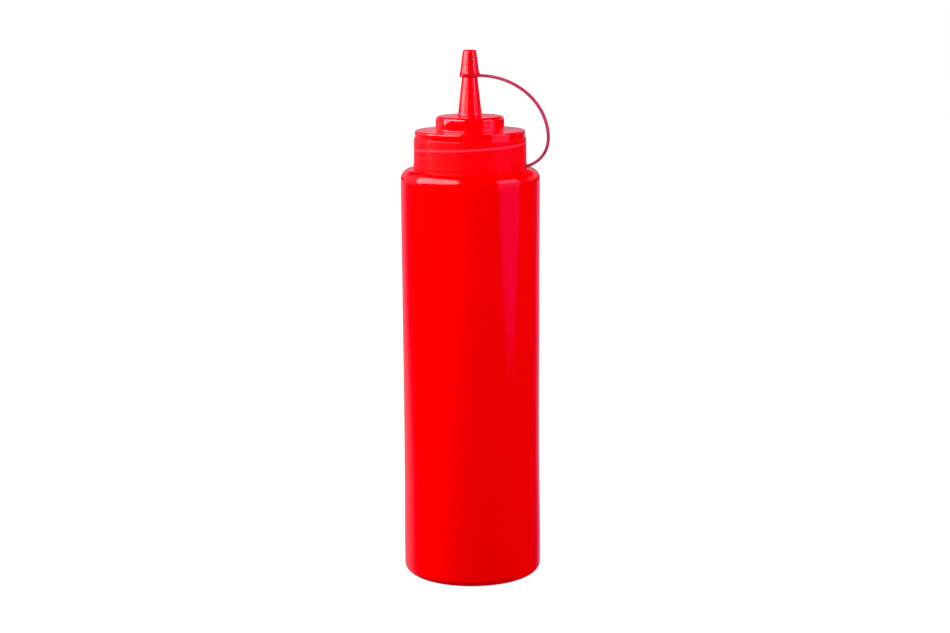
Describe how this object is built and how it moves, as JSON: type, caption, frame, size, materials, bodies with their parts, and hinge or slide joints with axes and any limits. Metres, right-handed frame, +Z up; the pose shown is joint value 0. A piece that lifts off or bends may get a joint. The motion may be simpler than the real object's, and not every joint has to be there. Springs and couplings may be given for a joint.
{
  "type": "squeeze bottle",
  "caption": "Tall round plastic squeeze bottle for sauce, with a stepped screw closure, a tapered nozzle and a small tip cap tied to the neck by a strap and ring.",
  "frame": {"origin": "centre of the flat base, on the bottle's axis", "axes": "+Z up along the bottle's axis towards the nozzle, +X towards the cap's strap, -Y towards the viewer"},
  "size_m": [0.0759, 0.0706, 0.2688],
  "materials": {
    "bottle_plastic": "opaque red soft polyethylene, satin",
    "closure_plastic": "red moulded polyethylene, a little clearer and glossier than the bottle"
  },
  "bodies": {
    "root": {"bottle": "bottle_plastic", "closure": "closure_plastic", "tip_cap": "closure_plastic"}
  },
  "joints": []
}
